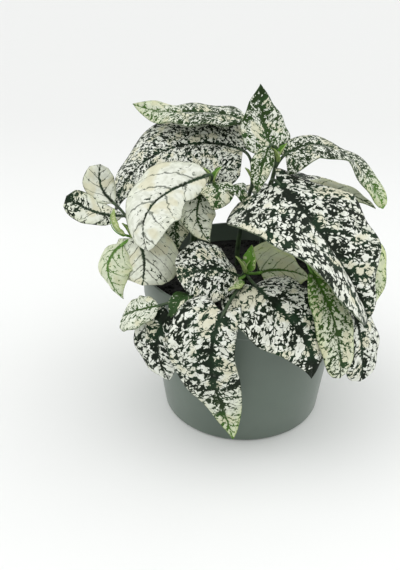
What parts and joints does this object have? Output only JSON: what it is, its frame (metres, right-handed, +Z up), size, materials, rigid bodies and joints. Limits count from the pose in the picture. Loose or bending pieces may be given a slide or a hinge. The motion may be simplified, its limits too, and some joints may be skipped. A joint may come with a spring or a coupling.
{
  "type": "potted polka dot plant",
  "caption": "Bushy polka dot plant with white-splashed green leaves in a round, slightly tapered grey nursery pot with a collar.",
  "frame": {"origin": "centre of the pot's flat base, on the surface that it stands on", "axes": "+Z up along the pot's axis, +Y away from the side that the picture shows, +X to that picture's right"},
  "size_m": [0.1585, 0.1475, 0.171],
  "materials": {
    "pot": "satin",
    "soil": "matte",
    "foliage": "satin"
  },
  "bodies": {
    "root": {"pot": "pot", "soil": "soil", "shoot_top": "foliage", "shoot_back_left": "foliage", "shoot_mid_left": "foliage", "shoot_left": "foliage", "shoot_centre": "foliage", "shoot_front_left": "foliage", "shoot_right": "foliage", "shoot_rear_right": "foliage", "shoot_rear_left": "foliage"}
  },
  "joints": []
}
